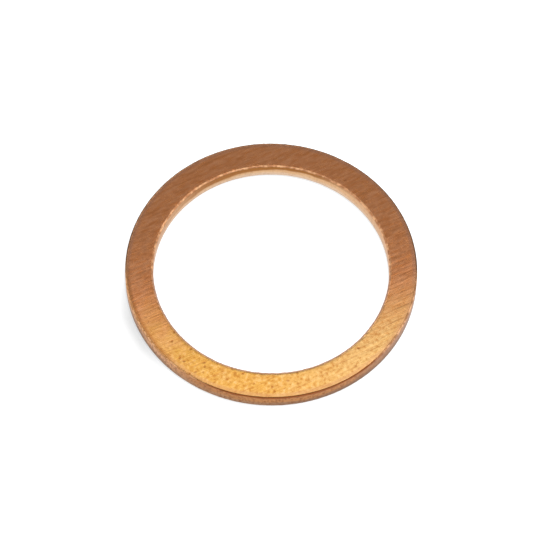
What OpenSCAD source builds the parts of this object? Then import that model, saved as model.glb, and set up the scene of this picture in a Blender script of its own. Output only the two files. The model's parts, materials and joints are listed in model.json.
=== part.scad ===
// Copper crush washer: one flat ring, punched from soft copper strip and tumbled.
// It lies on its lower face. The origin is the middle of that face, and +Z is the bore's axis.

/* [Ring] */
// Diameter of the bore that the plug's thread passes through
bore_d = 21; // [5:0.1:60]
// Width of the flat land that seals, from the bore to the rim
land_w = 2.5; // [1:0.05:8]
// Thickness as supplied, before tightening crushes it
thickness = 1.6; // [0.8:0.05:3]

/* [Edges] */
// Radius of the rim's upper edge, which the die rolls over
rim_roll_r = 0.2; // [0.05:0.01:0.35]
// Radius of the bore's upper edge, which the punch rolls over
bore_roll_r = 0.15; // [0.05:0.01:0.35]
// Radius that tumbling leaves on the two lower edges
tumbled_r = 0.2; // [0.05:0.01:0.35]

/* [Hidden] */
$fn = 180;
copper = "#b9783f";
bore_r = bore_d / 2;
rim_r = bore_r + land_w;

// What rounding takes off a square corner at the origin, with the metal towards +X and +Y
module edge_waste(r) {
    difference() {
        square(r);
        translate([r, r]) circle(r);
    }
}

// The ring's section, with X as the radius and Y as the height
module section() {
    difference() {
        translate([bore_r, 0]) square([land_w, thickness]);
        translate([bore_r, 0]) edge_waste(tumbled_r);
        translate([rim_r, 0]) mirror([1, 0]) edge_waste(tumbled_r);
        translate([bore_r, thickness]) mirror([0, 1]) edge_waste(bore_roll_r);
        translate([rim_r, thickness]) rotate(180) edge_waste(rim_roll_r);
    }
}

module copper_washer() {
    color(copper) rotate_extrude() section();
}

copper_washer();
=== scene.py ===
"""Dresses the copper crush washer, a flat ring punched from soft copper strip, and sets its studio."""

import json
import logging
import math
from collections.abc import Callable
from dataclasses import dataclass
from enum import Enum

import bmesh
import bpy
from mathutils import Matrix, Quaternion, Vector


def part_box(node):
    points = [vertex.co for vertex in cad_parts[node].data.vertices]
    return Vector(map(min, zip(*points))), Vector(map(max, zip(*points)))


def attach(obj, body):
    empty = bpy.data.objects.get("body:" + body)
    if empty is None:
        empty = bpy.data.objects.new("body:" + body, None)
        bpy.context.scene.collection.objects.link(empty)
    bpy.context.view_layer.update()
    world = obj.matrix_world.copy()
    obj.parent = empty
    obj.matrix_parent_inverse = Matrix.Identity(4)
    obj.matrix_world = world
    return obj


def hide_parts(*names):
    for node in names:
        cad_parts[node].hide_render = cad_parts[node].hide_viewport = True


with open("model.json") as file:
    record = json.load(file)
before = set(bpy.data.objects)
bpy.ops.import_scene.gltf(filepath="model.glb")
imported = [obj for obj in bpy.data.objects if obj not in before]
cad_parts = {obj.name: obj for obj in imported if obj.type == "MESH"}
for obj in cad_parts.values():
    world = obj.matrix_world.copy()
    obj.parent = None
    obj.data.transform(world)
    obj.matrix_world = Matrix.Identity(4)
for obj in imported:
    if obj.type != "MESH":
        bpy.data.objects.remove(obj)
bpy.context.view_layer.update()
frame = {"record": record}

LOG = logging.getLogger("copper_washer")
MM = 0.001
Tree = bpy.types.NodeTree
Node = bpy.types.Node
Socket = bpy.types.NodeSocket
NodeInput = Node | Socket | float | tuple


class Zone(Enum):
    """The kinds of surface on the ring, each stored on the mesh as an attribute from 0 to 1."""

    LAND = "land"
    EDGE = "edge"
    RIM = "rim"


def linear(hex_colour: str) -> tuple[float, float, float, float]:
    """Turns an sRGB hex colour to linear.

    Args:
        hex_colour: A hash sign and six hex digits.

    Returns:
        Linear red, green and blue, and an alpha of 1.
    """
    srgb = [int(hex_colour[k : k + 2], 16) / 255 for k in (1, 3, 5)]
    red, green, blue = (c / 12.92 if c <= 0.04045 else ((c + 0.055) / 1.055) ** 2.4 for c in srgb)
    return red, green, blue, 1.0


def add_node(
    tree: Tree,
    kind: str,
    inputs: dict[str | int, NodeInput] | None = None,
    **settings: object,
) -> Node:
    """Adds a node with its settings, and sets or links its inputs.

    Args:
        tree: The node tree that takes the node.
        kind: The node's type without the prefix that all shader nodes share.
        inputs: By name or place, a value, a socket to link from, or a node for its first output.
        settings: The node's own properties.

    Returns:
        The new node.
    """
    node = tree.nodes.new("ShaderNode" + kind)
    for name, value in settings.items():
        setattr(node, name, value)
    for name, value in (inputs or {}).items():
        source = next(o for o in value.outputs if o.enabled) if isinstance(value, Node) else value
        if isinstance(source, Socket):
            tree.links.new(source, node.inputs[name])
        else:
            node.inputs[name].default_value = source
    return node


def select_by_place(piece: bpy.types.Object, test: Callable[[Vector], bool]) -> None:
    """Selects, in edit mode, the vertices whose place passes a test, and the edges between them.

    Args:
        piece: The object in edit mode.
        test: Says of a vertex's place whether it is wanted.
    """
    mesh = bmesh.from_edit_mesh(piece.data)
    for vertex in mesh.verts:
        vertex.select_set(test(vertex.co))
    mesh.select_flush_mode()
    bmesh.update_edit_mesh(piece.data)


@dataclass(frozen=True)
class OneSided:
    """A look that is strong on one side of the ring, where the tools, wear or air met it unevenly, and also
    painted light and shade that differ by side.

    It grows from its least strength to 1 along a direction, over a reach measured from the bore's axis.
    """

    side: tuple[float, float, float]
    reach: tuple[float, float]
    least: float = 0.1

    def signal(self, tree: Tree, place: Socket) -> Node:
        """Says how strong the look is at a point.

        Args:
            tree: The material's node tree.
            place: Object coordinates.

        Returns:
            The strength.
        """
        towards = add_node(tree, "VectorMath", {0: place, 1: self.side}, operation="DOT_PRODUCT")
        start, full = self.reach
        return add_node(
            tree,
            "MapRange",
            {"Value": towards, "From Min": start, "From Max": full, "To Min": self.least},
            interpolation_type="SMOOTHSTEP",
        )


@dataclass(frozen=True)
class Spot:
    """Where on the ring a shaded point lies, as signals in one node tree.

    Attributes:
        tree: The material's node tree.
        place: Object coordinates.
        land: 1 on the flat faces and 0 on the walls.
        edge: 1 on the rolled edges and 0 off them.
        rim: 1 on the rim's side of the ring and 0 on the bore's.
        left: 1 on the left and low on the right, which picks between the two sides' copies of the painted
            light and shade.
        front: 1 on the front half and low on the back half.
        rim_shear: How strong the rim's sheared band is in this direction.
        bore_shear: How strong the bore's sheared band is in this direction.
    """

    tree: Tree
    place: Socket
    land: Socket
    edge: Socket
    rim: Socket
    left: Node
    front: Node
    rim_shear: Node
    bore_shear: Node


@dataclass(frozen=True)
class AnnealedCopper:
    """Soft annealed copper: rolled strip, punched, then tumbled.

    It gives the eye a satin orange metal with the strip's straight rolling lines over both faces. The front
    has a golden tarnish with dark pits, and its front half pales towards gold as a painted sheen, with pale
    flecks as painted glints. The rim's margin has a painted highlight in front, a grey tint at the back and
    painted shade on the left. The rim's rolled edge is darker as painted shade, darkest at the back. The
    upper edges have beads of bare copper on the far bore and the rim's flanks, and these beads are painted
    highlights. The walls have a smooth dark band that the tools sheared, the metal that tore below it, and
    blotches over both. The rim's wall darkens towards its foot as painted shade, the bore's wall pales
    towards its foot as a painted reflection of the table, and the flanks have lit and shaded copies of their
    colours for the left and the right. At a glancing angle the metal is nearly white.
    """

    name: str = "annealed_copper_rolled"
    # Colours of the faces
    copper: str = "#f0a97a"
    ruddy: str = "#d9864c"
    # pale is the colour of the painted sheen on the front half
    pale: str = "#dfb06e"
    gold: str = "#dca552"
    ochre: str = "#bd7226"
    # The pale flecks are painted glints on the front
    fleck: str = "#f0c587"
    groove: str = "#b9743f"
    pit: str = "#9a4f1d"
    # Margin colours: a painted highlight in front, a grey at the back, and brown painted shade on the left
    rubbed_and_lit: str = "#c5956b"
    back_margin_grey: str = "#c3937e"
    left_margin_shade: str = "#a0612f"
    glancing: str = "#f0e5e0"
    # Colours of the edges and walls
    # The bare copper of the beads, pale as the painted highlights they are
    bare: str = "#f6c090"
    # The rim's rolled edge is darker than the face: painted shade
    rim_rolled: str = "#8f5026"
    # The dark colour of the far rim's edge is painted shade
    rim_back_edge_shade: str = "#4f382c"
    rim_sheared: str = "#884c22"
    rim_torn: str = "#ae7848"
    bore_rolled: str = "#c08258"
    # The bore's front edge is mauve-grey: a painted reflection
    bore_front_edge_reflection: str = "#c9a08a"
    bore_sheared: str = "#925e28"
    wall_stain: str = "#7c4c28"
    # Colours of the edges and walls on the right, and on the left: lit and shaded copies, painted light and
    # shade that differ by side
    burnished: tuple[str, str] = ("#b5845e", "#d0965f")
    torn: tuple[str, str] = ("#8e6543", "#e8b384")
    # The foot colours are painted shade along the rim's foot
    foot: tuple[str, str] = ("#7a5d48", "#ac8464")
    bore_torn: tuple[str, str] = ("#d5ac82", "#c39c72")
    # The pale bore foot colours are a painted reflection of the table
    bore_foot: tuple[str, str] = ("#dcc0a6", "#cbae93")
    # Rolling lines and grain, drawn coarser than the real ones so that they show
    line_angle: float = math.radians(28)
    fine_length: float = 2.2 * MM
    fine_pitch: float = 0.19 * MM
    fine_depth_mm: float = 0.005
    broad_length: float = 4.5 * MM
    broad_pitch: float = 0.45 * MM
    broad_depth_mm: float = 0.012
    flush_length: float = 1.0 * MM
    flush_pitch: float = 0.22 * MM
    flush_levels: tuple[float, float] = (0.25, 0.75)
    groove_levels: tuple[float, float] = (0.48, 0.3)
    groove_share: float = 0.45
    grain_size: float = 0.09 * MM
    grain_depth_mm: float = 0.0012
    # Tarnish round a stain, with patches and dark specks, and pale flecks that are painted glints
    stain_centre: tuple[float, float, float] = (-3.8 * MM, -11.1 * MM, 0.0)
    stain_reach: tuple[float, float] = (11.5 * MM, 3.0 * MM)
    patch_size: float = 1.2 * MM
    patch_levels: tuple[float, float] = (0.35, 0.65)
    patch_sway: float = 0.45
    speck_size: float = 0.3 * MM
    speck_levels: tuple[float, float] = (0.52, 0.72)
    fleck_levels: tuple[float, float] = (0.45, 0.28)
    speck_share: float = 0.6
    least_specks: float = 0.35
    # Pits, close together at the stain and rare away from it
    pit_cell: float = 0.44 * MM
    pit_stretch: float = 1.2
    pit_notches: float = 2.5
    pit_raggedness: float = 0.4
    pit_edge: tuple[float, float] = (0.18, 0.62)
    pit_rarity: tuple[float, float] = (0.1, 0.985)
    pit_reach: float = 9.0 * MM
    least_pit: float = 0.3
    pit_depth_mm: float = 0.006
    # The margin of the upper face, along the rim, with a painted highlight in front, a grey tint at the back
    # and painted shade on the left
    margin_radii: tuple[float, float] = (12.55 * MM, 12.85 * MM)
    margin_share: tuple[float, float] = (0.5, 0.65)
    # Heights of the bands on the walls
    rim_band: tuple[float, float] = (1.2 * MM, 1.4 * MM)
    # The rim's wall darkens towards its foot: painted shade
    rim_foot_shade: tuple[float, float] = (0.8 * MM, 0.4 * MM)
    bore_band: tuple[float, float] = (0.8 * MM, 1.1 * MM)
    # The bore's wall pales towards its foot: a painted reflection of the white table
    bore_table_reflection: tuple[float, float] = (0.8 * MM, 0.3 * MM)
    bore_lean: float = -0.035
    band_waver: float = 0.4 * MM
    band_wave_length: float = 2.5 * MM
    foot_height: float = 0.5 * MM
    # Blotches and shear marks on the walls, nicks on the edges, and beads of bare copper on the edges that
    # are painted highlights
    blot_width: float = 0.2 * MM
    blot_height: float = 0.3 * MM
    blot_levels: tuple[float, float] = (0.47, 0.68)
    bore_blots: float = 0.25
    back_blots: float = 0.25
    front_blots: float = 0.9
    shear_pitch: float = 0.14 * MM
    shear_length: float = 0.5 * MM
    shear_depth_mm: float = 0.014
    bead_size: float = 0.5 * MM
    bead_levels: tuple[float, float] = (0.44, 0.6)
    nick_size: float = 0.3 * MM
    nick_depth_mm: float = 0.06
    front_nick_depth_mm: float = 0.012
    # Gloss
    roughness: float = 0.24
    roughness_spread: float = 0.05
    roughness_levels: tuple[float, float] = (0.3, 0.7)
    wall_roughness: float = 0.38
    # Where each look is strong
    # left picks each side's copy of the painted light and shade
    left: OneSided = OneSided((-1.0, 0.0, 0.0), (-8.0 * MM, 8.0 * MM))
    front: OneSided = OneSided((0.0, -1.0, 0.0), (-1.0 * MM, 3.0 * MM))
    # The front half pales towards gold: a painted sheen of the overhead lamp
    front_sheen: OneSided = OneSided((0.2, -0.98, 0.0), (2.0 * MM, 10.0 * MM), least=0.0)
    # Where the margin takes its painted shade, on the left
    left_margin_shade_side: OneSided = OneSided((-0.9, -0.44, 0.0), (11.0 * MM, 12.7 * MM))
    rim_shear: OneSided = OneSided((0.17, -0.985, 0.0), (8.5 * MM, 11.5 * MM))
    rim_tear: OneSided = OneSided((0.0, -1.0, 0.0), (8.5 * MM, 11.5 * MM))
    bore_shear: OneSided = OneSided((-0.12, 0.99, 0.0), (6.5 * MM, 9.7 * MM), least=0.3)

    def material(self) -> bpy.types.Material:
        """Makes the material.

        Returns:
            The new material.
        """
        material = bpy.data.materials.new(self.name)
        material.use_nodes = True
        tree = material.node_tree
        shader = tree.nodes["Principled BSDF"]
        shader.inputs["Metallic"].default_value = 1.0
        shader.inputs["Specular Tint"].default_value = linear(self.glancing)
        spot = self._spot(tree)
        fine = self._rolling_lines(spot, self.fine_length, self.fine_pitch)
        broad = self._rolling_lines(spot, self.broad_length, self.broad_pitch)
        pits = self._pits(spot)
        beads = self._beads(spot)
        # Lit and shaded copies of the wall and edge colours for the two sides: painted light and shade
        burnished, torn, foot, bore_torn, bore_foot = (
            add_node(tree, "MixRGB", {"Fac": spot.left, "Color1": linear(right), "Color2": linear(left)})
            for right, left in (self.burnished, self.torn, self.foot, self.bore_torn, self.bore_foot)
        )
        outside = self._rim_colour(spot, beads, burnished, torn, foot)
        wall = self._wall_colour(spot, outside, bore_torn, bore_foot)
        rolled = self._edge_colour(spot, beads, burnished, foot, bore_foot)
        sides = add_node(tree, "MixRGB", {"Fac": spot.edge, "Color1": wall, "Color2": rolled})
        face = self._face_colour(spot, fine, pits)
        layers = {
            "Base Color": add_node(tree, "MixRGB", {"Fac": spot.land, "Color1": sides, "Color2": face}),
            "Roughness": self._roughness(spot),
            "Normal": self._bump(spot, self._face_relief(tree, fine, broad, pits)),
        }
        for name, layer in layers.items():
            tree.links.new(layer.outputs[0], shader.inputs[name])
        return material

    def _spot(self, tree: Tree) -> Spot:
        """Reads where on the ring a shaded point lies.

        Args:
            tree: The material's node tree.

        Returns:
            The signals that the layers of the finish share.
        """
        place = add_node(tree, "TexCoord").outputs["Object"]
        land, edge, rim = (
            add_node(tree, "Attribute", attribute_name=zone.value).outputs["Fac"]
            for zone in (Zone.LAND, Zone.EDGE, Zone.RIM)
        )
        left, front, rim_shear, bore_shear = (
            look.signal(tree, place) for look in (self.left, self.front, self.rim_shear, self.bore_shear)
        )
        return Spot(tree, place, land, edge, rim, left, front, rim_shear, bore_shear)

    def _along_strip(self, spot: Spot, length: float, pitch: float) -> Node:
        """Turns and stretches a pattern to run along the strip that the ring was punched from.

        Args:
            spot: Where on the ring the point lies.
            length: The pattern's size along the strip.
            pitch: Its size across.

        Returns:
            The pattern's own coordinates.
        """
        return add_node(
            spot.tree,
            "Mapping",
            {"Vector": spot.place, "Rotation": (0.0, 0.0, self.line_angle), "Scale": (length, pitch, pitch)},
            vector_type="TEXTURE",
        )

    def _rolling_lines(self, spot: Spot, length: float, pitch: float) -> Node:
        """Draws the straight lines that the rolls leave along the strip.

        Args:
            spot: Where on the ring the point lies.
            length: How far a line runs.
            pitch: The distance from line to line.

        Returns:
            The lines' height, from 0 to 1.
        """
        along = self._along_strip(spot, length, pitch)
        return add_node(
            spot.tree, "TexNoise", {"Vector": along, "Scale": 1.0, "Detail": 3.0, "Roughness": 0.6}
        )

    def _stain_distance(self, spot: Spot) -> Node:
        """Measures how far the point lies from the middle of the stain."""
        return add_node(spot.tree, "VectorMath", {0: spot.place, 1: self.stain_centre}, operation="DISTANCE")

    def _pits(self, spot: Spot) -> Node:
        """Scatters small ragged pits, close together on one stretch of the ring and few elsewhere.

        Args:
            spot: Where on the ring the point lies.

        Returns:
            1 in the middle of a deep pit and 0 outside.
        """
        tree = spot.tree
        along = self._along_strip(spot, self.pit_stretch * self.pit_cell, self.pit_cell)
        cells = add_node(tree, "TexVoronoi", {"Vector": along, "Scale": 1.0})
        ragged = add_node(tree, "TexNoise", {"Vector": along, "Scale": self.pit_notches, "Detail": 2.0})
        reach = add_node(
            tree,
            "Math",
            {0: ragged, 1: self.pit_raggedness, 2: cells.outputs["Distance"]},
            operation="MULTIPLY_ADD",
        )
        floor, brink = self.pit_edge
        hollow = add_node(
            tree,
            "MapRange",
            {"Value": reach, "From Min": floor, "From Max": brink, "To Min": 1.0, "To Max": 0.0},
            interpolation_type="SMOOTHSTEP",
        )
        near, far = self.pit_rarity
        rare = add_node(
            tree,
            "MapRange",
            {"Value": self._stain_distance(spot), "From Max": self.pit_reach, "To Min": near, "To Max": far},
        )
        draw = add_node(tree, "SeparateColor", {"Color": cells.outputs["Color"]})
        chosen = add_node(tree, "Math", {0: draw.outputs["Red"], 1: rare}, operation="GREATER_THAN")
        varied = add_node(tree, "MapRange", {"Value": draw.outputs["Green"], "To Min": self.least_pit})
        deep = add_node(tree, "Math", {0: chosen, 1: varied}, operation="MULTIPLY")
        return add_node(tree, "Math", {0: hollow, 1: deep}, operation="MULTIPLY")

    def _beads(self, spot: Spot) -> Node:
        """Breaks the upper edges into beads of bare copper, which are painted highlights on the far bore and
        the rim's flanks.

        Args:
            spot: Where on the ring the point lies.

        Returns:
            1 on a bead and 0 between beads.
        """
        noise = add_node(
            spot.tree, "TexNoise", {"Vector": spot.place, "Scale": 1 / self.bead_size, "Detail": 2.0}
        )
        start, full = self.bead_levels
        return add_node(spot.tree, "MapRange", {"Value": noise, "From Min": start, "From Max": full})

    def _face_colour(self, spot: Spot, lines: Node, pits: Node) -> Node:
        """Mixes the copper's own colour with its tarnish and with a painted sheen that pales the front half,
        darkens the grooves and the pits, and tints the margin with a painted highlight in front and painted
        shade on the left.

        Args:
            spot: Where on the ring the point lies.
            lines: The fine rolling lines' height.
            pits: How deep a point lies in a pit.

        Returns:
            The colour of the two faces.
        """
        tree = spot.tree
        paled = self.front_sheen.signal(tree, spot.place)
        streaks = self._rolling_lines(spot, self.flush_length, self.flush_pitch)
        start, full = self.flush_levels
        flush = add_node(tree, "MapRange", {"Value": streaks, "From Min": start, "From Max": full})
        ruddy = add_node(
            tree, "MixRGB", {"Fac": flush, "Color1": linear(self.copper), "Color2": linear(self.ruddy)}
        )
        # Painted sheen: the metal pales towards gold on the front half
        metal = add_node(tree, "MixRGB", {"Fac": paled, "Color1": ruddy, "Color2": linear(self.pale)})
        tarnish = self._tarnish(spot)
        tinged = add_node(tree, "MixRGB", {"Fac": tarnish, "Color1": metal, "Color2": linear(self.gold)})
        specked = self._specks(spot, paled, tinged)
        start, full = self.groove_levels
        low = add_node(
            tree,
            "MapRange",
            {"Value": lines, "From Min": start, "From Max": full, "To Max": self.groove_share},
        )
        grooved = add_node(tree, "MixRGB", {"Fac": low, "Color1": specked, "Color2": linear(self.groove)})
        margin_toned = self._margin(spot, grooved)
        return add_node(tree, "MixRGB", {"Fac": pits, "Color1": margin_toned, "Color2": linear(self.pit)})

    def _tarnish(self, spot: Spot) -> Node:
        """Spreads the golden tarnish round its stain, in patches.

        Args:
            spot: Where on the ring the point lies.

        Returns:
            The tarnish's share, from 0 to 1.
        """
        tree = spot.tree
        patches = add_node(
            tree,
            "TexNoise",
            {"Vector": spot.place, "Scale": 1 / self.patch_size, "Detail": 4.0, "Roughness": 0.6},
        )
        low, high = self.patch_levels
        sway = self.patch_sway
        cloud = add_node(
            tree,
            "MapRange",
            {"Value": patches, "From Min": low, "From Max": high, "To Min": -sway, "To Max": sway},
        )
        outer, inner = self.stain_reach
        stained = add_node(
            tree, "MapRange", {"Value": self._stain_distance(spot), "From Min": outer, "From Max": inner}
        )
        return add_node(
            tree, "Math", {0: stained, 1: cloud, 2: stained}, operation="MULTIPLY_ADD", use_clamp=True
        )

    def _specks(self, spot: Spot, paled: Node, colour: Node) -> Node:
        """Strews dark specks over the faces, most of them in front, and pale flecks, which are painted
        glints, over the front alone.

        Args:
            spot: Where on the ring the point lies.
            paled: How far the painted sheen pales the metal in this direction, which also places the painted
                glints.
            colour: The colour under the specks.

        Returns:
            The colour with the specks and flecks.
        """
        tree = spot.tree
        noise = add_node(
            tree, "TexNoise", {"Vector": spot.place, "Scale": 1 / self.speck_size, "Detail": 2.0}
        )
        dusted = add_node(tree, "MapRange", {"Value": paled, "To Min": self.least_specks})
        for (start, full), where, tint in (
            (self.speck_levels, dusted, self.ochre),
            (self.fleck_levels, paled, self.fleck),
        ):
            shown = add_node(
                tree,
                "MapRange",
                {"Value": noise, "From Min": start, "From Max": full, "To Max": self.speck_share},
            )
            share = add_node(tree, "Math", {0: shown, 1: where}, operation="MULTIPLY")
            colour = add_node(tree, "MixRGB", {"Fac": share, "Color1": colour, "Color2": linear(tint)})
        return colour

    def _margin(self, spot: Spot, colour: Node) -> Node:
        """Tints the margin along the rim: a painted pale highlight in front, greyer at the back, and brown
        painted shade on the left.

        Args:
            spot: Where on the ring the point lies.
            colour: The colour of the unworn face.

        Returns:
            The colour with the margin.
        """
        tree = spot.tree
        # Painted shade on the left margin, and a painted highlight on the front margin
        left_margin_shade = self.left_margin_shade_side.signal(tree, spot.place)
        margin_toned = add_node(
            tree, "MixRGB", {"Fac": spot.front, "Color1": linear(self.back_margin_grey), "Color2": linear(self.rubbed_and_lit)}
        )
        tint = add_node(tree, "MixRGB", {"Fac": left_margin_shade, "Color1": margin_toned, "Color2": linear(self.left_margin_shade)})
        least, most = self.margin_share
        marked = add_node(tree, "MapRange", {"Value": left_margin_shade, "To Min": least, "To Max": most})
        radius = add_node(tree, "VectorMath", {0: spot.place}, operation="LENGTH")
        inner, outer = self.margin_radii
        share = add_node(
            tree,
            "MapRange",
            {"Value": radius, "From Min": inner, "From Max": outer, "To Max": marked},
            interpolation_type="SMOOTHSTEP",
        )
        return add_node(tree, "MixRGB", {"Fac": share, "Color1": colour, "Color2": tint})

    def _band(self, spot: Spot, levels: tuple[float, float], lean: float = 0.0) -> Node:
        """Marks a band along a wall, with a wavering edge.

        Args:
            spot: Where on the ring the point lies.
            levels: The height at which the band starts, and the height at which it is full.
            lean: How much the band's edge falls along X, as a slope.

        Returns:
            0 outside the band and 1 where it is full.
        """
        tree = spot.tree
        axes = add_node(tree, "SeparateXYZ", {"Vector": spot.place})
        waves = add_node(
            tree, "TexNoise", {"Vector": spot.place, "Scale": 1 / self.band_wave_length, "Detail": 4.0}
        )
        shift = add_node(
            tree, "MapRange", {"Value": waves, "To Min": -self.band_waver, "To Max": self.band_waver}
        )
        leaning = add_node(
            tree, "Math", {0: axes.outputs["X"], 1: lean, 2: axes.outputs["Z"]}, operation="MULTIPLY_ADD"
        )
        height = add_node(tree, "Math", {0: leaning, 1: shift}, operation="ADD")
        start, full = levels
        return add_node(
            tree,
            "MapRange",
            {"Value": height, "From Min": start, "From Max": full},
            interpolation_type="SMOOTHSTEP",
        )

    def _rim_colour(self, spot: Spot, beads: Node, burnished: Node, torn: Node, foot: Node) -> Node:
        """Lays the rim's sheared band over its torn metal, and painted shade along its foot.

        Args:
            spot: Where on the ring the point lies.
            beads: 1 on a bead and 0 between beads, which break up the band on the flanks.
            burnished: The sheared band's colour on the flanks.
            torn: The torn metal's colour on the flanks.
            foot: The colour of the painted shade along the foot.

        Returns:
            The colour of the rim's wall.
        """
        tree = spot.tree
        in_front = self.rim_tear.signal(tree, spot.place)
        rough = add_node(tree, "MixRGB", {"Fac": in_front, "Color1": torn, "Color2": linear(self.rim_torn)})
        # Painted shade darkening the rim's wall towards its foot
        foot_shade_share = self._band(spot, self.rim_foot_shade)
        foot_shaded = add_node(tree, "MixRGB", {"Fac": foot_shade_share, "Color1": rough, "Color2": foot})
        sheared = add_node(
            tree, "MixRGB", {"Fac": spot.rim_shear, "Color1": burnished, "Color2": linear(self.rim_sheared)}
        )
        cover = add_node(tree, "MapRange", {"Value": spot.rim_shear, "To Min": beads})
        share = add_node(tree, "Math", {0: self._band(spot, self.rim_band), 1: cover}, operation="MULTIPLY")
        return add_node(tree, "MixRGB", {"Fac": share, "Color1": foot_shaded, "Color2": sheared})

    def _wall_colour(self, spot: Spot, outside: Node, bore_torn: Node, bore_foot: Node) -> Node:
        """Lays the bore's sheared band over its torn metal, pales the bore's wall towards its foot as a
        painted reflection of the table, and blotches both walls.

        Args:
            spot: Where on the ring the point lies.
            outside: The colour of the rim's wall.
            bore_torn: The torn metal's colour in the bore.
            bore_foot: The pale colour along the bore's foot, a painted reflection of the table.

        Returns:
            The colour of the two walls.
        """
        tree = spot.tree
        # Painted reflection of the table, paling the bore's wall towards its foot
        low = self._band(spot, self.bore_table_reflection)
        torn_and_reflecting = add_node(tree, "MixRGB", {"Fac": low, "Color1": bore_torn, "Color2": bore_foot})
        band = self._band(spot, self.bore_band, self.bore_lean)
        share = add_node(tree, "Math", {0: band, 1: spot.bore_shear}, operation="MULTIPLY")
        inside = add_node(
            tree, "MixRGB", {"Fac": share, "Color1": torn_and_reflecting, "Color2": linear(self.bore_sheared)}
        )
        wall = add_node(tree, "MixRGB", {"Fac": spot.rim, "Color1": inside, "Color2": outside})
        upright = add_node(
            tree,
            "Mapping",
            {"Vector": spot.place, "Scale": (self.blot_width, self.blot_width, self.blot_height)},
            vector_type="TEXTURE",
        )
        blots = add_node(tree, "TexNoise", {"Vector": upright, "Scale": 1.0, "Detail": 3.0})
        rim_blots = add_node(
            tree, "MapRange", {"Value": spot.front, "To Min": self.back_blots, "To Max": self.front_blots}
        )
        most = add_node(tree, "MapRange", {"Value": spot.rim, "To Min": self.bore_blots, "To Max": rim_blots})
        start, full = self.blot_levels
        blotted = add_node(
            tree, "MapRange", {"Value": blots, "From Min": start, "From Max": full, "To Max": most}
        )
        return add_node(tree, "MixRGB", {"Fac": blotted, "Color1": wall, "Color2": linear(self.wall_stain)})

    def _edge_colour(self, spot: Spot, beads: Node, burnished: Node, foot: Node, bore_foot: Node) -> Node:
        """Colours the rolled edges. The rim's edge is darker as painted shade, darkest at the back, and the
        bore's front edge is mauve-grey as a painted reflection. Beads of bare copper on the upper edges, on
        the far bore and on the rim's flanks, are painted highlights.

        Args:
            spot: Where on the ring the point lies.
            beads: 1 on a bead and 0 between beads.
            burnished: The colour between the beads on the rim's flanks.
            foot: The colour of the painted shade along the rim's foot.
            bore_foot: The pale colour along the bore's foot, a painted reflection of the table.

        Returns:
            The colour of the rolled edges.
        """
        tree = spot.tree
        axes = add_node(tree, "SeparateXYZ", {"Vector": spot.place})
        upper = add_node(
            tree, "Math", {0: axes.outputs["Z"], 1: self.foot_height}, operation="GREATER_THAN"
        )
        # The beads show on the rim's flanks and the far bore, where highlights fall: painted highlights
        flanks = add_node(
            tree, "Math", {0: spot.front, 1: spot.rim_shear}, operation="SUBTRACT", use_clamp=True
        )
        back = add_node(tree, "Math", {0: 1.0, 1: spot.front}, operation="SUBTRACT")
        rubbed_and_lit = add_node(tree, "MapRange", {"Value": spot.rim, "To Min": back, "To Max": flanks})
        shown = add_node(tree, "Math", {0: beads, 1: rubbed_and_lit}, operation="MULTIPLY")
        share = add_node(tree, "Math", {0: shown, 1: upper}, operation="MULTIPLY")
        # Painted shade on the rim's edge at the back, the flank colour in front
        back_edge_shaded = add_node(
            tree, "MixRGB", {"Fac": spot.front, "Color1": linear(self.rim_back_edge_shade), "Color2": burnished}
        )
        # The rim's rolled edge: painted shade
        outside = add_node(
            tree, "MixRGB", {"Fac": spot.rim_shear, "Color1": back_edge_shaded, "Color2": linear(self.rim_rolled)}
        )
        # The bore's edge, with its front a painted reflection
        inside = add_node(
            tree,
            "MixRGB",
            {"Fac": spot.front, "Color1": linear(self.bore_rolled), "Color2": linear(self.bore_front_edge_reflection)},
        )
        rim_edge = add_node(tree, "MixRGB", {"Fac": upper, "Color1": foot, "Color2": outside})
        bore_edge = add_node(tree, "MixRGB", {"Fac": upper, "Color1": bore_foot, "Color2": inside})
        dull = add_node(tree, "MixRGB", {"Fac": spot.rim, "Color1": bore_edge, "Color2": rim_edge})
        return add_node(tree, "MixRGB", {"Fac": share, "Color1": dull, "Color2": linear(self.bare)})

    def _roughness(self, spot: Spot) -> Node:
        """Varies the roughness a little over the faces, and leaves the walls duller.

        Args:
            spot: Where on the ring the point lies.

        Returns:
            The roughness.
        """
        tree = spot.tree
        patches = add_node(
            tree, "TexNoise", {"Vector": spot.place, "Scale": 1 / self.speck_size, "Detail": 2.0}
        )
        low, high = self.roughness_levels
        face = add_node(
            tree,
            "MapRange",
            {
                "Value": patches,
                "From Min": low,
                "From Max": high,
                "To Min": self.roughness - self.roughness_spread,
                "To Max": self.roughness + self.roughness_spread,
            },
        )
        return add_node(
            tree, "MapRange", {"Value": spot.land, "To Min": self.wall_roughness, "To Max": face}
        )

    def _face_relief(self, tree: Tree, fine: Node, broad: Node, pits: Node) -> Node:
        """Adds up the relief of the two faces.

        Args:
            tree: The material's node tree.
            fine: The fine rolling lines' height.
            broad: The broad rolling lines' height.
            pits: How deep a point lies in a pit.

        Returns:
            The height in millimetres.
        """
        rolled = add_node(tree, "Math", {0: fine, 1: self.fine_depth_mm}, operation="MULTIPLY")
        waved = add_node(
            tree, "Math", {0: broad, 1: self.broad_depth_mm, 2: rolled}, operation="MULTIPLY_ADD"
        )
        return add_node(tree, "Math", {0: pits, 1: -self.pit_depth_mm, 2: waved}, operation="MULTIPLY_ADD")

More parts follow.
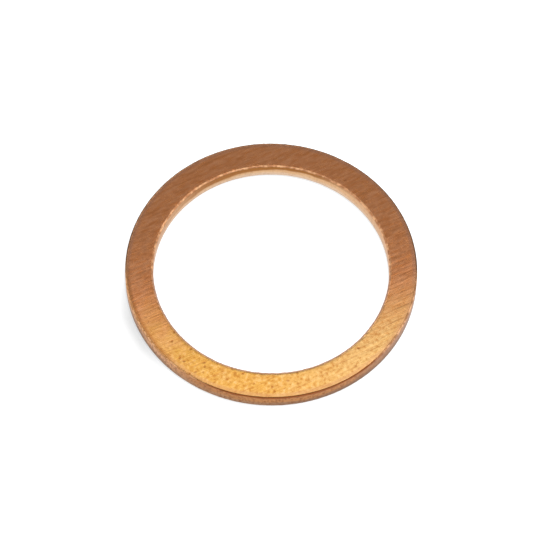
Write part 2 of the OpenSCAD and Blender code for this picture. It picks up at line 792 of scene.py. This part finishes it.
    def _bump(self, spot: Spot, relief: Node) -> Node:
        """Adds the walls' shear marks, the edges' nicks and the grain, and makes a bump of it all.

        Args:
            spot: Where on the ring the point lies.
            relief: The faces' height in millimetres.

        Returns:
            The bumped normal.
        """
        tree = spot.tree
        upright = add_node(
            tree,
            "Mapping",
            {"Vector": spot.place, "Scale": (self.shear_pitch, self.shear_pitch, self.shear_length)},
            vector_type="TEXTURE",
        )
        marks = add_node(tree, "TexNoise", {"Vector": upright, "Scale": 1.0, "Detail": 2.0})
        sheared = add_node(tree, "Math", {0: marks, 1: self.shear_depth_mm}, operation="MULTIPLY")
        smooth = add_node(tree, "MapRange", {"Value": spot.land, "To Min": sheared, "To Max": relief})
        grain, nicks = (
            add_node(tree, "TexNoise", {"Vector": spot.place, "Scale": 1 / size, "Detail": 2.0})
            for size in (self.grain_size, self.nick_size)
        )
        grained = add_node(
            tree, "Math", {0: grain, 1: self.grain_depth_mm, 2: smooth}, operation="MULTIPLY_ADD"
        )
        nicked = add_node(
            tree,
            "MapRange",
            {"Value": spot.rim_shear, "To Min": self.nick_depth_mm, "To Max": self.front_nick_depth_mm},
        )
        depth = add_node(tree, "Math", {0: spot.edge, 1: nicked}, operation="MULTIPLY")
        height = add_node(tree, "Math", {0: nicks, 1: depth, 2: grained}, operation="MULTIPLY_ADD")
        return add_node(tree, "Bump", {"Height": height, "Distance": MM})


@dataclass(frozen=True)
class RolledEdge:
    """One of the section's four corners, with its rounding and how unevenly it was rolled.

    The face's own colour reaches over the edge as far as the tilts of the surface given here, one for the
    front of the ring and one for the rest. Beyond them the edge takes its edge colour, which on the rim is
    painted shade.
    """

    name: str
    at_rim: bool
    at_top: bool
    height: float
    width: float
    chip_depth: float = 0.02 * MM
    chip_length: float = 0.3 * MM
    front_tilt: float = math.radians(30)
    face_tilt: float = math.radians(30)


EDGES = (
    RolledEdge(
        "rim_top",
        at_rim=True,
        at_top=True,
        height=0.14 * MM,
        width=0.16 * MM,
        chip_depth=0.03 * MM,
        chip_length=0.35 * MM,
        front_tilt=math.radians(27),
        face_tilt=math.radians(3),
    ),
    RolledEdge(
        "bore_top",
        at_rim=False,
        at_top=True,
        height=0.15 * MM,
        width=0.3 * MM,
        chip_depth=0.06 * MM,
        chip_length=0.35 * MM,
        front_tilt=math.radians(5),
        face_tilt=math.radians(9),
    ),
    RolledEdge("rim_foot", at_rim=True, at_top=False, height=0.12 * MM, width=0.12 * MM),
    RolledEdge("bore_foot", at_rim=False, at_top=False, height=0.2 * MM, width=0.2 * MM),
)


@dataclass
class CrushWasher:
    """The ring: a rounded section spun about the bore's axis, with uneven edges and torn walls."""

    rim_radius: float
    bore_radius: float
    thickness: float
    edges: tuple[RolledEdge, ...] = EDGES
    node: str = "copper_washer"
    slot: str = "copper"
    name: str = "copper_ring"
    torn_group: str = "torn_walls"
    sectors: int = 40
    sector_steps: int = 36
    arc_segments: int = 6
    top_cuts: int = 13
    foot_cuts: int = 5
    wall_cuts: int = 9
    tear_level: float = 1.15 * MM
    margin_drop: float = 0.015 * MM
    margin_width: float = 0.5 * MM
    tear_setback: float = 0.01 * MM
    tear_depth: float = 0.03 * MM
    tear_length: float = 0.22 * MM
    least_weight: float = 0.05
    face_fade: float = math.radians(10)
    front_from: float = 0.6
    front_full: float = 0.85
    edge_from: float = 0.25
    edge_full: float = 0.7
    merge_distance: float = 0.001 * MM

    @property
    def land_width(self) -> float:
        """Gives the ring's width from the bore to the rim."""
        return self.rim_radius - self.bore_radius

    @property
    def middle_radius(self) -> float:
        """Gives the radius halfway between the bore and the rim."""
        return (self.rim_radius + self.bore_radius) / 2

    def build(self, finish: AnnealedCopper) -> bpy.types.Object:
        """Models and dresses the ring, and puts it in place of its CAD node.

        Args:
            finish: The metal that it is made of.

        Returns:
            The finished piece.
        """
        ring = self._section()
        self._draw_down_margin(ring)
        self._set_back_walls(ring)
        self._spin(ring)
        self._mark_zones(ring)
        for edge in self.edges:
            self._roughen(ring, edge.name, edge.chip_depth, edge.chip_length)
        self._roughen(ring, self.torn_group, self.tear_depth, self.tear_length)
        ring.data.materials.append(finish.material())
        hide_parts(self.node)
        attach(ring, "root")
        # The table keeps the ring's shadow, but takes no tinted light from it
        ring.visible_diffuse = False
        return ring

    def _wall_radius(self, at_rim: bool) -> float:
        """Gives the radius of the rim's wall or the bore's."""
        return self.rim_radius if at_rim else self.bore_radius

    def _section(self) -> bpy.types.Object:
        """Models the section's outline in the XZ plane.

        Returns:
            The object, in edit mode.
        """
        middle = (self.middle_radius, 0.0, self.thickness / 2)
        bpy.ops.object.select_all(action="DESELECT")
        bpy.ops.mesh.primitive_plane_add(
            size=self.thickness, location=middle, rotation=(math.pi / 2, 0.0, 0.0)
        )
        ring = bpy.context.object
        ring.name = self.name
        bpy.ops.object.transform_apply(location=True, rotation=True, scale=True)
        bpy.ops.object.mode_set(mode="EDIT")
        bpy.ops.mesh.select_all(action="SELECT")
        bpy.ops.transform.resize(value=(self.land_width / self.thickness, 1.0, 1.0), center_override=middle)
        for edge in self.edges:
            self._round_corner(ring, edge)
        bpy.ops.mesh.select_all(action="SELECT")
        bpy.ops.mesh.delete(type="ONLY_FACE")
        for level, cuts in ((0.0, self.foot_cuts), (self.thickness, self.top_cuts)):
            select_by_place(ring, lambda co, level=level: self._same(co.z, level))
            bpy.ops.mesh.subdivide(number_cuts=cuts)
        for at_rim in (False, True):
            select_by_place(ring, lambda co, radius=self._wall_radius(at_rim): self._same(co.x, radius))
            bpy.ops.mesh.subdivide(number_cuts=self.wall_cuts)
        return ring

    def _same(self, one: float, other: float) -> bool:
        """Says whether two lengths are the same within the merging distance."""
        return abs(one - other) < self.merge_distance

    def _depths(self, radius: float, level: float, edge: RolledEdge) -> tuple[float, float]:
        """Gives how far a point lies from the wall and from the face that meet at an edge.

        Args:
            radius: The point's distance from the bore's axis.
            level: Its height over the lower face.
            edge: The edge asked about.

        Returns:
            The distance from the wall and the distance from the face.
        """
        face = self.thickness if edge.at_top else 0.0
        return abs(radius - self._wall_radius(edge.at_rim)), abs(level - face)

    def _round_corner(self, ring: bpy.types.Object, edge: RolledEdge) -> None:
        """Rounds one corner of the section, and draws the rounding out over the face.

        Args:
            ring: The object, in edit mode.
            edge: The edge that is made there.
        """
        select_by_place(ring, lambda co: max(self._depths(co.x, co.z, edge)) < self.merge_distance)
        bpy.ops.mesh.bevel(offset=edge.height, segments=self.arc_segments, affect="VERTICES")
        reach = edge.height + self.merge_distance
        select_by_place(ring, lambda co: max(self._depths(co.x, co.z, edge)) < reach)
        bpy.ops.transform.resize(
            value=(edge.width / edge.height, 1.0, 1.0),
            center_override=(self._wall_radius(edge.at_rim), 0.0, 0.0),
        )

    def _draw_down_margin(self, ring: bpy.types.Object) -> None:
        """Draws the upper face gently down towards the rim, as the die does.

        Args:
            ring: The object, in edit mode.
        """
        select_by_place(ring, lambda co: self._same(co.x, self.rim_radius) and co.z > self.tear_level)
        bpy.ops.transform.translate(
            value=(0.0, 0.0, -self.margin_drop),
            use_proportional_edit=True,
            use_proportional_connected=True,
            proportional_edit_falloff="SMOOTH",
            proportional_size=self.margin_width,
        )

    def _set_back_walls(self, ring: bpy.types.Object) -> None:
        """Sets the torn lower part of each wall back from the sheared band above it.

        Args:
            ring: The object, in edit mode.
        """
        for edge in self.edges:
            if not edge.at_top:
                reach = edge.width + self.merge_distance
                inwards = -self.tear_setback if edge.at_rim else self.tear_setback
                select_by_place(
                    ring,
                    lambda co, edge=edge, reach=reach: self._depths(co.x, co.z, edge)[0] < reach
                    and co.z < self.tear_level,
                )
                bpy.ops.transform.translate(value=(inwards, 0.0, 0.0))

    def _spin(self, ring: bpy.types.Object) -> None:
        """Spins the outline into one sector, copies that round to a closed ring and smooths it.

        Args:
            ring: The object, in edit mode.
        """
        sector = 2 * math.pi / self.sectors
        axis = {"center": (0.0, 0.0, 0.0), "axis": (0.0, 0.0, 1.0)}
        bpy.ops.mesh.select_all(action="SELECT")
        bpy.ops.mesh.spin(steps=self.sector_steps, angle=sector, **axis)
        bpy.ops.mesh.select_all(action="SELECT")
        bpy.ops.mesh.spin(steps=self.sectors - 1, dupli=True, angle=sector * (self.sectors - 1), **axis)
        bpy.ops.mesh.select_all(action="SELECT")
        bpy.ops.mesh.remove_doubles(threshold=self.merge_distance)
        bpy.ops.mesh.normals_make_consistent(inside=False)
        bpy.ops.object.mode_set(mode="OBJECT")
        bpy.ops.object.shade_smooth()

    def _mark_zones(self, ring: bpy.types.Object) -> None:
        """Stores on the mesh where each kind of surface is, with a vertex group for each stretch to roughen.

        Args:
            ring: The object, in object mode.
        """
        shares: dict[Zone, list[float]] = {zone: [] for zone in Zone}
        corners = {(edge.at_rim, edge.at_top): edge for edge in self.edges}
        groups = {place: ring.vertex_groups.new(name=edge.name) for place, edge in corners.items()}
        torn = ring.vertex_groups.new(name=self.torn_group)
        for vertex in ring.data.vertices:
            at_rim = vertex.co.xy.length > self.middle_radius
            at_top = vertex.co.z > self.thickness / 2
            flat = abs(vertex.normal.z)
            both_ways = 2 * flat * math.sqrt(max(0.0, 1 - flat**2))
            rolled = self._share(both_ways, self.edge_from, self.edge_full)
            if rolled > self.least_weight:
                groups[at_rim, at_top].add([vertex.index], rolled, "REPLACE")
            elif flat < self.least_weight and vertex.co.z < self.tear_level:
                torn.add([vertex.index], 1.0, "REPLACE")
            corner = corners[at_rim, at_top]
            front = self._share(-vertex.co.y / vertex.co.xy.length, self.front_from, self.front_full)
            face_tilt = corner.face_tilt + front * (corner.front_tilt - corner.face_tilt)
            tilt = math.acos(min(flat, 1.0))
            shares[Zone.LAND].append(self._share(tilt, face_tilt + self.face_fade, face_tilt))
            shares[Zone.EDGE].append(rolled)
            shares[Zone.RIM].append(1.0 if at_rim else 0.0)
        for zone, values in shares.items():
            attribute = ring.data.attributes.new(zone.value, "FLOAT", "POINT")
            attribute.data.foreach_set("value", values)

    @staticmethod
    def _share(value: float, start: float, full: float) -> float:
        """Gives how far a value lies on the way from a start to a full measure, from 0 to 1."""
        return min(max((value - start) / (full - start), 0.0), 1.0)

    def _roughen(self, ring: bpy.types.Object, group: str, depth: float, length: float) -> None:
        """Makes one stretch of the ring uneven, as rolling over, tearing and tumbling leave it.

        Args:
            ring: The object, in object mode.
            group: The vertex group to work on.
            depth: The height from the lowest point to the highest.
            length: The size of the bumps.
        """
        noise = bpy.data.textures.new(f"{group}_bumps", "CLOUDS")
        noise.noise_scale = length
        noise.noise_depth = 2
        modifier = ring.modifiers.new(noise.name, "DISPLACE")
        modifier.texture = noise
        modifier.texture_coords = "LOCAL"
        modifier.vertex_group = group
        modifier.strength = depth
        modifier.mid_level = 0.5
        bpy.ops.object.modifier_apply(modifier=modifier.name)


@dataclass(frozen=True)
class SoftBox:
    """A rectangular studio lamp, given by its place, its size and how bright its face looks."""

    name: str
    place: tuple[float, float, float]
    width: float
    depth: float
    radiance: float
    aim: tuple[float, float, float] = (0.0, 0.0, 0.0)
    turn: float = 0.0
    in_metal: bool = True
    on_table: bool = True

    def build(self) -> bpy.types.Object:
        """Adds the lamp, hidden from the camera.

        Returns:
            The lamp.
        """
        towards = Vector(self.aim) - Vector(self.place)
        facing = towards.to_track_quat("-Z", "Y") @ Quaternion((0.0, 0.0, 1.0), self.turn)
        bpy.ops.object.light_add(type="AREA", location=self.place, rotation=facing.to_euler())
        lamp = bpy.context.object
        lamp.name = self.name
        lamp.visible_camera = False
        lamp.visible_glossy = self.in_metal
        lamp.visible_diffuse = self.on_table
        lamp.data.shape = "RECTANGLE"
        lamp.data.size = self.width
        lamp.data.size_y = self.depth
        lamp.data.energy = self.radiance * math.pi * self.width * self.depth
        return lamp


SOFT_BOXES = (
    SoftBox(
        "overhead_box",
        place=(7 * MM, -11 * MM, 45 * MM),
        width=56 * MM,
        depth=60.4 * MM,
        radiance=1.06,
        aim=(7 * MM, -11 * MM, 0.0),
        turn=math.radians(4.6),
    ),
    SoftBox(
        "right_box",
        place=(130 * MM, 50 * MM, 220 * MM),
        width=130 * MM,
        depth=130 * MM,
        radiance=0.85,
    ),
    SoftBox(
        "left_box",
        place=(-200 * MM, 0.0, 110 * MM),
        width=220 * MM,
        depth=160 * MM,
        radiance=0.62,
    ),
    SoftBox(
        "low_right_box",
        place=(200 * MM, -20 * MM, 105 * MM),
        width=200 * MM,
        depth=150 * MM,
        radiance=0.82,
        on_table=False,
    ),
    SoftBox(
        "low_back_box",
        place=(0.0, 220 * MM, 85 * MM),
        width=300 * MM,
        depth=140 * MM,
        radiance=0.85,
        on_table=False,
    ),
    SoftBox(
        "shadow_box",
        place=(120 * MM, 75 * MM, 220 * MM),
        width=180 * MM,
        depth=180 * MM,
        radiance=3.0,
        in_metal=False,
    ),
)


@dataclass(frozen=True)
class Studio:
    """A white table that glows a little, less under the ring and in a painted contact shadow close to it, dim
    grey surroundings and soft lamps.
    """

    ring_middle: float
    ring_half_width: float
    lamps: tuple[SoftBox, ...] = SOFT_BOXES
    world_level: float = 0.39
    floor_colour: str = "#f0f0f0"
    floor_reach: float = 3.0
    floor_drop: float = 0.004 * MM
    shade_place: tuple[float, float, float] = (-13.0 * MM, -6.5 * MM, 0.0)
    shade_reach: tuple[float, float] = (2.0 * MM, 7.0 * MM)
    shade_glow: tuple[float, float] = (0.2, 0.5)
    # The contact glow and reach paint a contact shadow on the table
    contact_glow: float = 0.5
    contact_reach: float = 0.15 * MM

    def build(self) -> None:
        """Adds the surroundings, the table and the lamps."""
        self._surroundings()
        self._table()
        for lamp in self.lamps:
            lamp.build()
            LOG.info("lamp %s", lamp.name)

    def _surroundings(self) -> None:
        """Sets an even dim grey world and the plain view transform."""
        scene = bpy.context.scene
        scene.view_settings.view_transform = "Standard"
        scene.world = bpy.data.worlds.new("dim_studio")
        scene.world.use_nodes = True
        background = scene.world.node_tree.nodes["Background"]
        background.inputs["Color"].default_value = (1.0, 1.0, 1.0, 1.0)
        background.inputs["Strength"].default_value = self.world_level

    def _table(self) -> None:
        """Adds the table top, white to the camera, which keeps the ring's shadow."""
        bpy.ops.mesh.primitive_plane_add(size=2 * self.floor_reach, location=(0.0, 0.0, -self.floor_drop))
        table = bpy.context.object
        table.name = "table_top"
        table.data.materials.append(self._table_material())

    def _table_material(self) -> bpy.types.Material:
        """Makes the table's matt white, with its glow for what the camera and the metal see.

        Returns:
            The new material.
        """
        material = bpy.data.materials.new("white_table")
        material.use_nodes = True
        tree = material.node_tree
        tree.nodes.clear()
        rays = add_node(tree, "LightPath").outputs
        shown = rays["Is Camera Ray"]
        for other in ("Is Glossy Ray", "Is Transmission Ray"):
            shown = add_node(tree, "Math", {0: shown, 1: rays[other]}, operation="ADD", use_clamp=True)
        dimmed = add_node(
            tree, "Math", {0: self._shade_glow(tree), 1: self._contact_glow(tree)}, operation="MULTIPLY"
        )
        strength = add_node(tree, "Math", {0: dimmed, 1: shown}, operation="MULTIPLY")
        light = add_node(tree, "Emission", {"Strength": strength})
        matt = add_node(tree, "BsdfDiffuse", {"Color": linear(self.floor_colour)})
        both = add_node(tree, "AddShader", {0: light, 1: matt})
        add_node(tree, "OutputMaterial", {"Surface": both})
        return material

    def _shade_glow(self, tree: Tree) -> Node:
        """Dims the glow in the ring's shade on the left.

        Args:
            tree: The table's node tree.

        Returns:
            The glow's strength.
        """
        place = add_node(tree, "TexCoord").outputs["Object"]
        away = add_node(tree, "VectorMath", {0: place, 1: self.shade_place}, operation="DISTANCE")
        inner, outer = self.shade_reach
        low, high = self.shade_glow
        return add_node(
            tree,
            "MapRange",
            {"Value": away, "From Min": inner, "From Max": outer, "To Min": low, "To Max": high},
        )

    def _contact_glow(self, tree: Tree) -> Node:
        """Dims the glow under the ring and close to it, which paints a contact shadow on the table.

        Args:
            tree: The table's node tree.

        Returns:
            The share of the glow that is left.
        """
        place = add_node(tree, "TexCoord").outputs["Object"]
        radius = add_node(tree, "VectorMath", {0: place}, operation="LENGTH")
        aside = add_node(tree, "Math", {0: radius, 1: self.ring_middle}, operation="SUBTRACT")
        off = add_node(tree, "Math", {0: aside}, operation="ABSOLUTE")
        return add_node(
            tree,
            "MapRange",
            {
                "Value": off,
                "From Min": self.ring_half_width,
                "From Max": self.ring_half_width + self.contact_reach,
                "To Min": self.contact_glow,
            },
        )


@dataclass(frozen=True)
class StudioCamera:
    """A long lens that looks down on the ring from the front."""

    elevation: float = math.radians(60.71)
    roll: float = math.radians(1.094)
    distance: float = 326.9 * MM
    across: float = 0.343 * MM
    upwards: float = 0.142 * MM
    lens_mm: float = 239.6
    sensor_mm: float = 36.0
    clip_factor: float = 100.0

    def build(self) -> bpy.types.Object:
        """Adds the camera and makes it the scene's own.

        Returns:
            The camera.
        """
        right = Vector((1.0, 0.0, 0.0))
        up = Vector((0.0, math.sin(self.elevation), math.cos(self.elevation)))
        back = right.cross(up)
        place = back * self.distance + right * self.across + up * self.upwards
        axes = Matrix((right, up, back)).transposed() @ Matrix.Rotation(self.roll, 3, "Z")
        bpy.ops.object.camera_add(location=place, rotation=axes.to_euler())
        camera = bpy.context.object
        camera.name = "studio_camera"
        camera.data.lens = self.lens_mm
        camera.data.sensor_width = self.sensor_mm
        camera.data.clip_start = self.distance / self.clip_factor
        camera.data.clip_end = self.distance * self.clip_factor
        bpy.context.scene.camera = camera
        return camera


def bore_radius() -> float:
    """Gives the bore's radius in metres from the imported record."""
    bore = next(m for m in frame["record"]["mounts"] if m["name"] == "bore")
    return bore["dims"]["r_mm"] * MM


def main() -> None:
    """Builds the camera, the studio and the ring."""
    logging.basicConfig(level=logging.INFO, format="%(name)s: %(message)s")
    low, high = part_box("copper_washer")
    washer = CrushWasher(rim_radius=high.x, bore_radius=bore_radius(), thickness=high.z - low.z)
    StudioCamera().build()
    Studio(ring_middle=washer.middle_radius, ring_half_width=washer.land_width / 2).build()
    ring = washer.build(AnnealedCopper())
    LOG.info("piece %s: %d vertices, %d faces", ring.name, len(ring.data.vertices), len(ring.data.polygons))


if __name__ == "__main__":
    main()
